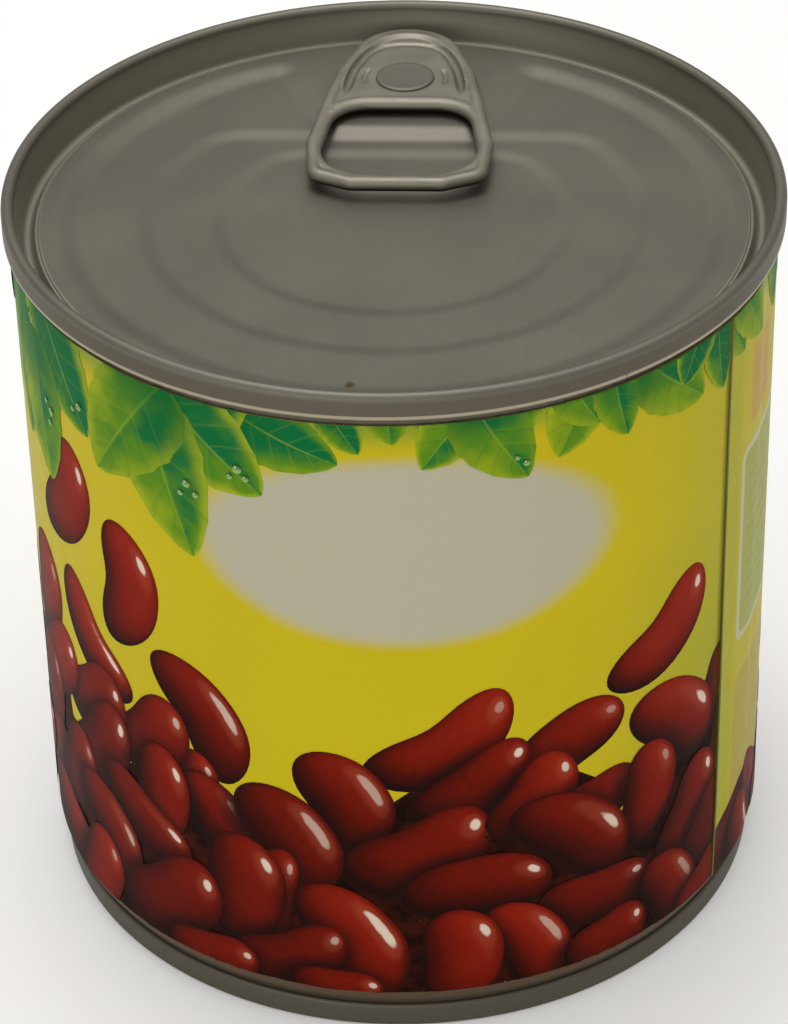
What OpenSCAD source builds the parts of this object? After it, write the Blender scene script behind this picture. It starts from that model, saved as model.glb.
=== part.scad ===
// Squat ring-pull food can, shut: a steel body between two seamed ends, a pull tab
// riveted to the top end, and a paper label wrapped round the body.
// The can stands on the floor at z = 0, centred on the Z axis. The tab's nose points to +Y.

/* [Can] */
// Height from the floor to the top of the upper seam
can_h = 86.8; // [70:0.2:120]
// Outer diameter of the steel body wall
body_d = 84; // [68:0.2:104]

/* [Top seam] */
// How far the top seam stands out past the body wall
top_seam_out = 1; // [0.7:0.1:1.3]
// Thickness of the top seam, measured along the radius
top_seam_t = 1.4; // [1.2:0.1:1.8]
// Height of the top seam
top_seam_h = 3.1; // [2.6:0.1:3.6]

/* [Bottom seam] */
// How far the bottom seam stays inside the body wall
bottom_seam_in = 0.6; // [0.3:0.1:1]
// Thickness of the bottom seam, measured along the radius
bottom_seam_t = 1.4; // [1.2:0.1:1.8]
// Height of the bottom seam
bottom_seam_h = 3.1; // [2.6:0.1:3.6]
// Height of the sloping neck between the bottom seam and the body wall
neck_h = 2; // [1:0.1:2.6]
// How far the foot of the neck sits inside the bottom seam
neck_in = 0.45; // [0.2:0.05:0.6]
// Width of the flat ring that the can stands on
foot_flat = 0.4; // [0.2:0.1:0.8]

/* [End panels] */
// Depth of each panel's edge inside its seam
panel_depth = 3.9; // [3.2:0.1:5]
// How far each chuck wall leans in, from the seam to the groove
wall_lean = 0.6; // [0.3:0.1:1]
// Width of the groove between the chuck wall and the panel
groove_w = 1.4; // [1:0.1:2]
// How far the groove drops past the panel's edge
groove_drop = 0.95; // [0.8:0.05:1.4]
// Distance from the bottom panel's edge to its single step
base_step_in = 9.6; // [6:0.2:14]
// Rise of the bottom panel's step
base_step_rise = 0.7; // [0.3:0.1:1]

/* [Top panel steps] */
// Distance from the panel's edge to the middle of the outer step
outer_in = 3.6; // [3:0.1:5]
// Drop of the outer step
outer_drop = 0.55; // [0.3:0.05:0.8]
// Width of the outer step's slope
outer_run = 2.4; // [1:0.1:3]
// Distance from the outer step to the middle step
middle_in = 8.6; // [6:0.1:10]
// Drop of the middle step
middle_drop = 0.35; // [0.2:0.05:0.6]
// Width of the middle step's slope
middle_run = 2; // [1:0.1:3]
// Distance from the middle step to the inner step
inner_in = 8.05; // [6:0.05:9]
// Drop of the inner step
inner_drop = 0.3; // [0.2:0.05:0.5]
// Width of the inner step's slope
inner_run = 1.7; // [1:0.1:2.5]
// Distance from the tab's finger end to the straight side of the middle step
middle_flat = 13.9; // [12:0.1:15]
// Distance from the tab's finger end to the straight side of the inner step
inner_flat = 10.25; // [8:0.05:11]
// Corner radius where a step's straight side meets its round one
flat_corner_r = 6; // [3:0.5:8]
// Half angle of the raised ground that carries the tab
ground_angle = 23; // [18:1:30]
// Distance from the panel's edge to the score line
score_in = 0.3; // [0.2:0.05:0.6]
// Width of the score line
score_w = 0.2; // [0.1:0.05:0.3]
// Depth of the score line
score_d = 0.12; // [0.05:0.01:0.2]

/* [Pull tab] */
// Length from the nose to the finger end
tab_len = 35.3; // [30:0.1:40]
// Greatest width, across the finger ring
tab_w = 21.3; // [18:0.1:24]
// Thickness of the rolled edge
tab_t = 1.75; // [1.4:0.05:2]
// Gap between the tab and the raised ground under it
tab_lift = 0.25; // [0.15:0.05:0.5]
// Gap between the nose and the panel's edge
nose_gap = 0.1; // [0:0.05:1]
// Radius of the nose
nose_r = 6.4; // [5.6:0.1:7.4]
// Distance from the finger end to the widest place
widest_at = 9; // [8.5:0.1:11]
// Radius of the sides at the widest place
side_r = 5; // [4.5:0.1:6]
// Width across the shoulders, beside the rivet
shoulder_w = 16.8; // [15.6:0.1:17.6]
// Distance from the finger end to the shoulders
shoulder_at = 22.8; // [21:0.1:24]
// Radius of the shoulders
shoulder_r = 7; // [6:0.1:8]
// Width across the two heels, where the chamfers start
heel_w = 19; // [17.6:0.1:20]
// Distance from the finger end to the middle of each heel
heel_at = 4.7; // [4.2:0.1:5.4]
// Length of the straight finger end
finger_end_w = 9.8; // [8:0.1:11]
// Corner radius of the heels and of the finger end
corner_r = 2; // [1.95:0.05:2.4]
// Length of the finger hole
hole_len = 15.2; // [13:0.05:16]
// Width of the ring between the finger hole and the outline
hole_rim = 1.9; // [1.8:0.05:2.4]
// Corner radius of the finger hole
hole_corner_r = 4.5; // [3.5:0.1:5]
// Radius of the folded edge round the finger hole
fold_r = 0.6; // [0.4:0.05:0.7]
// Thickness of the web round the rivet
web_t = 0.6; // [0.4:0.05:0.8]
// How far the web sits below the top of the rolled edge
web_sink = 0.35; // [0.2:0.05:0.5]

/* [Rivet] */
// Distance from the finger hole's edge to the middle of the rivet
rivet_back = 6.2; // [5.6:0.1:7]
// Diameter of the rivet's head
rivet_head_d = 6.8; // [5.6:0.1:7.2]
// Height of the rivet's head above the web
rivet_head_h = 0.3; // [0.2:0.05:0.35]
// Diameter of the rivet's shank
rivet_shank_d = 4; // [3:0.1:5]
// Gap round the shank in the web's hole
rivet_gap = 0.05; // [0.03:0.01:0.2]
// Radius of the two slots beside the rivet
slot_r = 4.6; // [4.2:0.1:4.8]
// Width of the two slots
slot_w = 0.4; // [0.3:0.05:0.5]

/* [Label] */
// Height of the label's lower edge above the floor
label_low = 5.9; // [5.8:0.1:10]
// Distance from the top of the can to the label's upper edge
label_top_gap = 4.1; // [3.8:0.1:8]
// Thickness of the paper
paper_t = 0.2; // [0.1:0.05:0.3]
// Width of the glued overlap
overlap_w = 8; // [4:0.5:14]
// Angle of the overlap's free edge, counterclockwise from +X
overlap_angle = -29.8; // [-180:0.1:180]

/* [Hidden] */

round_fn = 128;
roll_fn = 12;
roll_step = 15;      // greatest turn between two points of a rolled edge, in degrees
slack = 1;           // how far a cutting shape runs past what it cuts
label_cover = 0.5;   // how far the label covers the joints between the body and its ends
curl_r = 0.45;       // rounding of the seams' hooked edges
edge_r = 0.25;       // rounding of a panel's edge
slot_arc = [-16, 50]; // the slots' stretch, from the tab's cross line towards its nose

body_r = body_d / 2;
top_r = body_r + top_seam_out;
bottom_r = body_r - bottom_seam_in;
top_panel_z = can_h - panel_depth;
label_high = can_h - label_top_gap;
body_low = label_low + label_cover;
body_high = min(label_high - label_cover, top_panel_z - groove_drop - slack);

top_edge_r = panel_edge(top_r, top_seam_t);
bottom_edge_r = panel_edge(bottom_r, bottom_seam_t);
outer_r = top_edge_r - outer_in;
middle_r = outer_r - middle_in;
inner_r = middle_r - inner_in;

nose_y = top_edge_r - nose_gap;
finger_y = nose_y - tab_len;
hole_y = finger_y + hole_rim + hole_len;
rivet_y = hole_y + rivet_back;
tab_z = top_panel_z + tab_lift;
roll_r = tab_t / 2;
web_top = tab_z + tab_t - web_sink;

// Radius of the panel's edge inside a seam
function panel_edge(seam_r, seam_t) = seam_r - seam_t - wall_lean - groove_w;

// Points along an arc, from angle a0 to angle a1
function arc(c, r, a0, a1, n = 8) =
    [for (i = [0:n]) let (a = a0 + (a1 - a0) * i / n) c + r * [cos(a), sin(a)]];

// Outer face of a seamed end as [radius, height], with height 0 at the top of its seam:
// over the seam, down the chuck wall, round the groove and in along the panel
function end_face(seam_r, seam_t, flat) =
    let (
        rr = (seam_t - flat) / 2,
        edge = panel_edge(seam_r, seam_t),
        gr = groove_w / 2
    )
    concat(
        arc([seam_r - rr, -rr], rr, 0, 90),
        arc([seam_r - seam_t + rr, -rr], rr, 90, 180),
        arc([edge + gr, -panel_depth - groove_drop + gr], gr, 0, -180, 12),
        arc([edge - edge_r, -panel_depth - edge_r], edge_r, 0, 90, 4),
        [[0, -panel_depth]]
    );

// A belt is a closed outline pulled tight round discs. Each disc is [x, y, radius], and
// belt_normal gives the outward direction of the straight from one disc to the next
function belt_normal(a, b) =
    let (d = [b.x - a.x, b.y - a.y])
    atan2(d.y, d.x) - 90 + asin((a[2] - b[2]) / norm(d));
function turned(from, to) = to < from ? to + 360 : to;
// Stretches of the belt round disc i: [start angle, end angle]
function belt_arc(discs, i) =
    let (
        n = len(discs),
        a0 = belt_normal(discs[(i + n - 1) % n], discs[i]),
        a1 = belt_normal(discs[i], discs[(i + 1) % n])
    )
    [a0, turned(a0, a1)];
// Points of the belt, at most step degrees apart
function belt(discs, step = 6) =
    [for (i = [0:len(discs) - 1]) let (s = belt_arc(discs, i))
        each arc([discs[i].x, discs[i].y], discs[i][2], s[0], s[1], max(1, ceil((s[1] - s[0]) / step)))];
function grown(discs, by) = [for (d = discs) [d.x, d.y, d[2] + by]];
// Both halves of a list of discs on the right-hand side, counterclockwise
function both_sides(right) =
    concat(right, [for (i = [len(right) - 1:-1:0]) [-right[i].x, right[i].y, right[i][2]]]);

side_discs = [
    [finger_end_w / 2, finger_y + corner_r, corner_r],
    [heel_w / 2 - corner_r, finger_y + heel_at, corner_r],
    [tab_w / 2 - side_r, finger_y + widest_at, side_r],
    [shoulder_w / 2 - shoulder_r, finger_y + shoulder_at, shoulder_r]
];
nose_disc = [0, nose_y - nose_r, nose_r];
tab_discs = let (left = both_sides(side_discs))
    concat(side_discs, [nose_disc], [for (i = [len(side_discs):len(left) - 1]) left[i]]);
hole_x = tab_w / 2 - hole_rim - hole_corner_r;
hole_discs = both_sides([
    [hole_x, finger_y + hole_rim + hole_corner_r, hole_corner_r],
    [hole_x, hole_y - hole_corner_r, hole_corner_r]
]);

// A round bar along a ring of points
module roll(path, r) {
    n = len(path);
    for (i = [0:n - 1]) hull()
        for (p = [path[i], path[(i + 1) % n]]) translate([p.x, p.y, 0]) sphere(r = r, $fn = roll_fn);
}

// What a step removes from the panel: everything inside radius r, down to z, with a
// sloping edge that starts a drop higher
module step_cut(r, run, drop, z) {
    translate([0, 0, z]) cylinder(h = drop, r1 = r - run / 2, r2 = r + run / 2, $fn = round_fn);
    translate([0, 0, z + drop])
        cylinder(h = top_panel_z + slack - z - drop, r = r + run / 2, $fn = round_fn);
}

// Disc of radius r cut off straight at flat_y, with rounded corners
module flat_side(r, flat_y) {
    c = [sqrt(pow(r - flat_corner_r, 2) - pow(flat_y - flat_corner_r, 2)), flat_y - flat_corner_r];
    a = atan2(c.y, c.x);
    translate([0, 0, top_panel_z - panel_depth]) linear_extrude(height = 2 * panel_depth)
        polygon(concat(
            arc(c, flat_corner_r, a, 90),
            arc([-c.x, c.y], flat_corner_r, 90, 180 - a),
            arc([0, 0], r, 180 - a, 360 + a, 48)
        ));
}

// Raised ground under the tab, which the outer step leaves standing
module tab_ground() {
    reach = outer_r + outer_run;
    translate([0, 0, top_panel_z - panel_depth]) linear_extrude(height = 2 * panel_depth)
        polygon(concat([[0, 0]], arc([0, 0], reach, 90 - ground_angle, 90 + ground_angle)));
}

module can_body() {
    color("silver") translate([0, 0, body_low])
        cylinder(h = body_high - body_low, r = body_r, $fn = round_fn);
}

module top_end() {
    under_seam = can_h - top_seam_h;
    face = [for (p = end_face(top_r, top_seam_t, 0)) [p.x, can_h + p.y]];
    outline = concat(
        [[0, body_high], [body_r, body_high], [body_r, under_seam]],
        arc([top_r - curl_r, under_seam + curl_r], curl_r, -90, 0),
        face
    );
    z1 = top_panel_z - outer_drop;
    z2 = z1 - middle_drop;
    z3 = z2 - inner_drop;
    score_r = top_edge_r - score_in;
    color("gray") difference() {
        rotate_extrude($fn = round_fn) polygon(outline);
        difference() {
            step_cut(outer_r, outer_run, outer_drop, z1);
            tab_ground();
        }
        intersection() {
            step_cut(middle_r, middle_run, middle_drop, z2);
            flat_side(middle_r + middle_run, finger_y + middle_flat);
        }
        intersection() {
            step_cut(inner_r, inner_run, inner_drop, z3);
            flat_side(inner_r + inner_run, finger_y + inner_flat);
        }
        translate([0, 0, top_panel_z - score_d]) difference() {
            cylinder(h = slack, r = score_r + score_w / 2, $fn = round_fn);
            cylinder(h = slack, r = score_r - score_w / 2, $fn = round_fn);
        }
    }
}

module bottom_end() {
    foot_r = bottom_r - neck_in;
    face = [for (p = end_face(bottom_r, bottom_seam_t, foot_flat)) [p.x, -p.y]];
    outline = concat(
        [[0, body_low], [body_r, body_low], [body_r, bottom_seam_h + neck_h],
            [foot_r, bottom_seam_h]],
        arc([bottom_r - curl_r, bottom_seam_h - curl_r], curl_r, 90, 0),
        face
    );
    color("gray") difference() {
        rotate_extrude($fn = round_fn) polygon(outline);
        translate([0, 0, panel_depth - slack])
            cylinder(h = base_step_rise + slack, r = bottom_edge_r - base_step_in, $fn = round_fn);
    }
}

module pull_tab() {
    color("darkgray") {
        translate([0, 0, tab_z + roll_r])
            roll(belt(grown(tab_discs, -roll_r), roll_step), roll_r);
        translate([0, 0, tab_z + roll_r])
            roll(belt(grown(hole_discs, fold_r), roll_step), fold_r);
        translate([0, 0, web_top - web_t]) linear_extrude(height = web_t) difference() {
            polygon(belt(grown(tab_discs, -roll_r)));
            polygon(belt(grown(hole_discs, fold_r)));
            translate([0, rivet_y]) circle(d = rivet_shank_d + 2 * rivet_gap, $fn = 64);
            for (side = [0, 1]) mirror([side, 0]) translate([0, rivet_y]) polygon(concat(
                arc([0, 0], slot_r + slot_w / 2, slot_arc[0], slot_arc[1]),
                arc([0, 0], slot_r - slot_w / 2, slot_arc[1], slot_arc[0])
            ));
        }
    }
}

module rivet() {
    color("gray") translate([0, rivet_y, 0]) {
        translate([0, 0, top_panel_z])
            cylinder(h = web_top - top_panel_z, d = rivet_shank_d, $fn = 64);
        translate([0, 0, web_top]) cylinder(h = rivet_head_h, d = rivet_head_d, $fn = 64);
    }
}

module label() {
    lap = overlap_w / (body_r + paper_t) * 180 / PI;
    color("gold") {
        rotate_extrude($fn = round_fn)
            translate([body_r, label_low]) square([paper_t, label_high - label_low]);
        rotate([0, 0, overlap_angle]) rotate_extrude(angle = lap, $fn = round_fn)
            translate([body_r + paper_t, label_low]) square([paper_t, label_high - label_low]);
    }
}

can_body();
top_end();
bottom_end();
pull_tab();
rivet();
label();
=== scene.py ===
"""Finished look of a squat ring-pull bean can, built piece by piece round its CAD frame."""

import math
import random

import bpy
from bpy.props import FloatProperty, FloatVectorProperty, IntProperty, PointerProperty
from bpy.types import Operator, Panel, PropertyGroup
from mathutils import Matrix, Vector


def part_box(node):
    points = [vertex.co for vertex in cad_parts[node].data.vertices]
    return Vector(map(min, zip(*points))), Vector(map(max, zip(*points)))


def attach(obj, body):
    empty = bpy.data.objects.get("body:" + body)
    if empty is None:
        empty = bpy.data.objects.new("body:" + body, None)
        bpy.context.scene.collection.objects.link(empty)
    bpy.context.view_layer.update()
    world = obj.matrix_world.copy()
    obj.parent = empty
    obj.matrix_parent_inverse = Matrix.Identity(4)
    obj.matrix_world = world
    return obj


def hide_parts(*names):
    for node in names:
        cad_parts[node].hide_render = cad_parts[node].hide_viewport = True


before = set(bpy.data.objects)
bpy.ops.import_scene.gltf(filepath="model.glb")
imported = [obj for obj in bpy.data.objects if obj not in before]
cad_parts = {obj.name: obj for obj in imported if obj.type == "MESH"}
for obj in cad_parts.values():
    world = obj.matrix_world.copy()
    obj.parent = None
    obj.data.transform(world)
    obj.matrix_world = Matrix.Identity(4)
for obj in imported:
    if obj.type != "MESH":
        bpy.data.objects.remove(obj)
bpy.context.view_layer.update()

bl_info = {
    "name": "Bean can",
    "version": (1, 0, 0),
    "blender": (4, 5, 0),
    "location": "3D View > Sidebar > Bean can",
    "description": "Steel ends, pull tab and printed paper label of a squat bean can",
    "category": "Add Mesh",
}

MM = 0.001

TOP_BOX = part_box("top_end")
BOTTOM_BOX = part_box("bottom_end")
TAB_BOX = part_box("pull_tab")
RIVET_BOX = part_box("rivet")
BODY_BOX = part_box("can_body")
LABEL_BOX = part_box("label")
CAN_HIGH = TOP_BOX[1].z
TOP_R = TOP_BOX[1].x
BODY_R = BODY_BOX[1].x
NOSE_Y = TAB_BOX[1].y + 0.07 * MM
RIVET_Y = (RIVET_BOX[0].y + RIVET_BOX[1].y) / 2

PAPER = 0.2                          # thickness of the label's paper, in millimetres
FRONT_TURN = math.radians(3.4)       # how far the label's front is turned from -Y
FREE_EDGE = math.radians(-29.8)      # where the outer end of the paper lies
FRONT_ANGLE = FRONT_TURN - math.pi / 2


def toned(colour, share):
    """A colour made darker or lighter by a share."""
    return tuple(part * share for part in colour)


def smooth_step(value, low, high):
    """0 below low, 1 above high, smooth between."""
    share = min(max((value - low) / (high - low), 0), 1)
    return share * share * (3 - 2 * share)


# ---------------------------------------------------------------- settings


class CanSteelSettings(PropertyGroup):
    """Sizes and colours of the two ends, the rivet and the tab."""

    turns: IntProperty(name="Steps round", description="Faces round each turned end",
                       default=288, min=64, max=512)
    seam_width: FloatProperty(name="Seam width", description="Thickness of the top seam",
                              default=1.4 * MM, subtype="DISTANCE", unit="LENGTH")
    panel_depth: FloatProperty(name="Panel depth", description="Depth of the panel's edge",
                               default=3.9 * MM, subtype="DISTANCE", unit="LENGTH")
    outer_drop: FloatProperty(name="Outer step", description="Drop of the panel's outer step",
                              default=0.55 * MM, subtype="DISTANCE", unit="LENGTH")
    middle_drop: FloatProperty(name="Middle step", description="Drop of the middle step",
                               default=0.35 * MM, subtype="DISTANCE", unit="LENGTH")
    inner_drop: FloatProperty(name="Inner step", description="Drop of the inner step",
                              default=0.3 * MM, subtype="DISTANCE", unit="LENGTH")
    roll_width: FloatProperty(name="Tab edge", description="Thickness of the tab's rolled edge",
                              default=1.75 * MM, subtype="DISTANCE", unit="LENGTH")
    panel_colour: FloatVectorProperty(name="Panel", description="Tinplate of the ends",
                                      default=(0.206, 0.192, 0.160), subtype="COLOR",
                                      min=0, max=1)
    # Painted shade: the seams' outer faces get this darker colour for the shade on them.
    seam_shade_colour: FloatVectorProperty(name="Seam", description="Tinplate on the seams' outsides",
                                     default=(0.128, 0.112, 0.084), subtype="COLOR",
                                     min=0, max=1)
    tab_colour: FloatVectorProperty(name="Tab", description="Steel of the pull tab",
                                    default=(0.300, 0.282, 0.226), subtype="COLOR",
                                    min=0, max=1)


class CanLabelSettings(PropertyGroup):
    """Sizes and printed colours of the paper label."""

    paper: FloatProperty(name="Paper", description="Thickness of the paper",
                         default=PAPER * MM, subtype="DISTANCE", unit="LENGTH")
    overlap: FloatProperty(name="Overlap", description="Width of the glued overlap",
                           default=8 * MM, subtype="DISTANCE", unit="LENGTH")
    edge_lift: FloatProperty(name="Edge lift", description="How far the free edge stands up",
                             default=0.16 * MM, subtype="DISTANCE", unit="LENGTH")
    yellow: FloatVectorProperty(name="Field", description="Yellow of the label's field",
                                default=(0.565, 0.458, 0.006), subtype="COLOR", min=0, max=1)
    lime: FloatVectorProperty(name="Lime", description="Greener yellow beside the overlap",
                              default=(0.37, 0.37, 0.014), subtype="COLOR", min=0, max=1)
    oval: FloatVectorProperty(name="Oval", description="Pale oval on the front",
                              default=(0.465, 0.438, 0.318), subtype="COLOR", min=0, max=1)
    leaf: FloatVectorProperty(name="Leaf", description="Middle green of the leaves",
                              default=(0.090, 0.235, 0.012), subtype="COLOR", min=0, max=1)
    bean: FloatVectorProperty(name="Bean", description="Red of the printed beans",
                              default=(0.185, 0.0085, 0.0022), subtype="COLOR", min=0, max=1)


def steel():
    return bpy.context.scene.can_steel


def paper():
    return bpy.context.scene.can_label


# ---------------------------------------------------------------- modelling


def drop_selection():
    """Object mode with nothing selected."""
    active = bpy.context.view_layer.objects.active
    if active and active.mode != "OBJECT":
        bpy.ops.object.mode_set(mode="OBJECT")
    bpy.ops.object.select_all(action="DESELECT")


def pick(piece, *others):
    """Only these pieces selected, the first one active."""
    drop_selection()
    for item in (piece, *others):
        item.select_set(True)
    bpy.context.view_layer.objects.active = piece


def named(name):
    """The primitive just added, under its new name."""
    piece = bpy.context.active_object
    piece.name = name
    piece.data.name = name
    return piece


def arc(centre, radius, start, end, count):
    """Points along an arc in degrees, both ends included."""
    turns = [math.radians(start + (end - start) * i / count) for i in range(count + 1)]
    return [(centre[0] + radius * math.cos(t), centre[1] + radius * math.sin(t)) for t in turns]


def turn_profile(name, profile, steps):
    """A closed solid turned round Z from (radius, height) points in millimetres."""
    drop_selection()
    bpy.ops.mesh.primitive_plane_add(size=MM, location=(0, 0, 0))
    piece = named(name)
    bpy.ops.object.mode_set(mode="EDIT")
    bpy.ops.mesh.select_all(action="SELECT")
    bpy.ops.mesh.merge(type="CENTER")
    here = (0, 0)
    for i, point in enumerate(profile):
        move = {"value": ((point[0] - here[0]) * MM, 0, (point[1] - here[1]) * MM)}
        if i == 0:
            bpy.ops.transform.translate(**move)
        else:
            bpy.ops.mesh.extrude_region_move(TRANSFORM_OT_translate=move)
        here = point
    bpy.ops.mesh.select_all(action="SELECT")
    bpy.ops.mesh.spin(steps=steps, angle=2 * math.pi, center=(0, 0, 0), axis=(0, 0, 1))
    bpy.ops.mesh.select_all(action="SELECT")
    bpy.ops.mesh.remove_doubles(threshold=0.002 * MM)
    bpy.ops.mesh.normals_make_consistent(inside=False)
    bpy.ops.object.mode_set(mode="OBJECT")
    return piece


def smooth_shade(piece, angle):
    pick(piece)
    bpy.ops.object.shade_smooth_by_angle(angle=math.radians(angle))


def apply_modifier(piece, kind, **settings):
    """One modifier added with its settings and applied."""
    pick(piece)
    modifier = piece.modifiers.new(kind.title(), kind)
    for key, value in settings.items():
        setattr(modifier, key, value)
    bpy.ops.object.modifier_apply(modifier=modifier.name)


def finish_piece(piece, material, slot_name, *nodes):
    """Gives a piece its material and its body, and hides the CAD nodes it stands for. The slot name
    is not used.
    """
    if not piece.data.materials:
        piece.data.materials.append(material)
    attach(piece, "root")
    if nodes:
        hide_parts(*nodes)


# ---------------------------------------------------------------- material nodes


class Board:
    """Short calls for laying out one material's nodes."""

    def __init__(self, name):
        self.material = bpy.data.materials.new(name)
        self.material.use_nodes = True
        self.tree = self.material.node_tree
        self.tree.nodes.clear()
        self.shader = self.add("ShaderNodeBsdfPrincipled")
        output = self.add("ShaderNodeOutputMaterial")
        self.tree.links.new(self.shader.outputs["BSDF"], output.inputs["Surface"])

    def add(self, kind, **settings):
        node = self.tree.nodes.new(kind)
        for key, value in settings.items():
            setattr(node, key, value)
        return node

    def plug(self, socket, value):
        if isinstance(value, bpy.types.NodeSocket):
            self.tree.links.new(value, socket)
        elif socket.type == "RGBA" and len(value) == 3:
            socket.default_value = (*value, 1)
        else:
            socket.default_value = value

    def set(self, **values):
        """Sockets of the shader, with _ for a space in their names."""
        for key, value in values.items():
            self.plug(self.shader.inputs[key.replace("_", " ")], value)

    def place(self):
        return self.add("ShaderNodeTexCoord").outputs["Object"]

    def carried(self, name):
        return self.add("ShaderNodeAttribute", attribute_name=name).outputs["Vector"]

    def parts(self, vector):
        node = self.add("ShaderNodeSeparateXYZ")
        self.plug(node.inputs[0], vector)
        return node.outputs[0], node.outputs[1], node.outputs[2]

    def math(self, operation, *values):
        node = self.add("ShaderNodeMath", operation=operation)
        for socket, value in zip(node.inputs, values):
            self.plug(socket, value)
        return node.outputs[0]

    def times(self, first, second):
        return self.math("MULTIPLY", first, second)

    def plus(self, first, second):
        return self.math("ADD", first, second)

    def minus(self, first, second):
        return self.math("SUBTRACT", first, second)

    def length(self, across, up):
        """Length of a flat arrow from its two parts."""
        return self.math("SQRT", self.plus(self.times(across, across), self.times(up, up)))

    def smooth(self, value, low, high, first=0.0, last=1.0):
        node = self.add("ShaderNodeMapRange", interpolation_type="SMOOTHSTEP")
        self.plug(node.inputs["Value"], value)
        node.inputs["From Min"].default_value = low
        node.inputs["From Max"].default_value = high
        node.inputs["To Min"].default_value = first
        node.inputs["To Max"].default_value = last
        return node.outputs["Result"]

    def band(self, value, middle, half, soft):
        """1 within half of middle, fading out over soft."""
        away = self.math("ABSOLUTE", self.minus(value, middle))
        return self.smooth(away, half, half + soft, 1.0, 0.0)

    def dot(self, first, second):
        node = self.add("ShaderNodeVectorMath", operation="DOT_PRODUCT")
        self.plug(node.inputs[0], first)
        self.plug(node.inputs[1], second)
        return node.outputs["Value"]

    def scaled(self, vector, scale):
        node = self.add("ShaderNodeVectorMath", operation="MULTIPLY")
        self.plug(node.inputs[0], vector)
        node.inputs[1].default_value = scale
        return node.outputs[0]

    def unit(self, vector):
        node = self.add("ShaderNodeVectorMath", operation="NORMALIZE")
        self.plug(node.inputs[0], vector)
        return node.outputs[0]

    def mix(self, share, first, second):
        node = self.add("ShaderNodeMix", data_type="RGBA")
        self.plug(node.inputs[0], share)
        self.plug(node.inputs[6], first)
        self.plug(node.inputs[7], second)
        return node.outputs[2]

    def noise(self, vector, scale, detail=3.0, roughness=0.5):
        node = self.add("ShaderNodeTexNoise")
        self.plug(node.inputs["Vector"], vector)
        node.inputs["Scale"].default_value = scale
        node.inputs["Detail"].default_value = detail
        node.inputs["Roughness"].default_value = roughness
        return node.outputs["Fac"]

    def bump(self, height, strength, distance):
        node = self.add("ShaderNodeBump")
        node.inputs["Strength"].default_value = strength
        node.inputs["Distance"].default_value = distance
        self.plug(node.inputs["Height"], height)
        self.plug(self.shader.inputs["Normal"], node.outputs["Normal"])

    def frame_mask(self, across, up, middle, half, corner, soft):
        """1 inside a rectangle with round corners, in millimetres."""
        reach = []
        for value, mid, size in zip((across, up), middle, half):
            away = self.math("ABSOLUTE", self.minus(value, mid))
            reach.append(self.math("MAXIMUM", self.minus(away, size - corner), 0.0))
        return self.smooth(self.length(*reach), corner - soft, corner + soft, 1.0, 0.0)


# ---------------------------------------------------------------- steel


STAIN = (-2.95 * MM, -34.1 * MM)     # the one brown spot on the top panel
LOW_STEEL = 8.0 * MM                 # painted shade darkens the steel below this height


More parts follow.
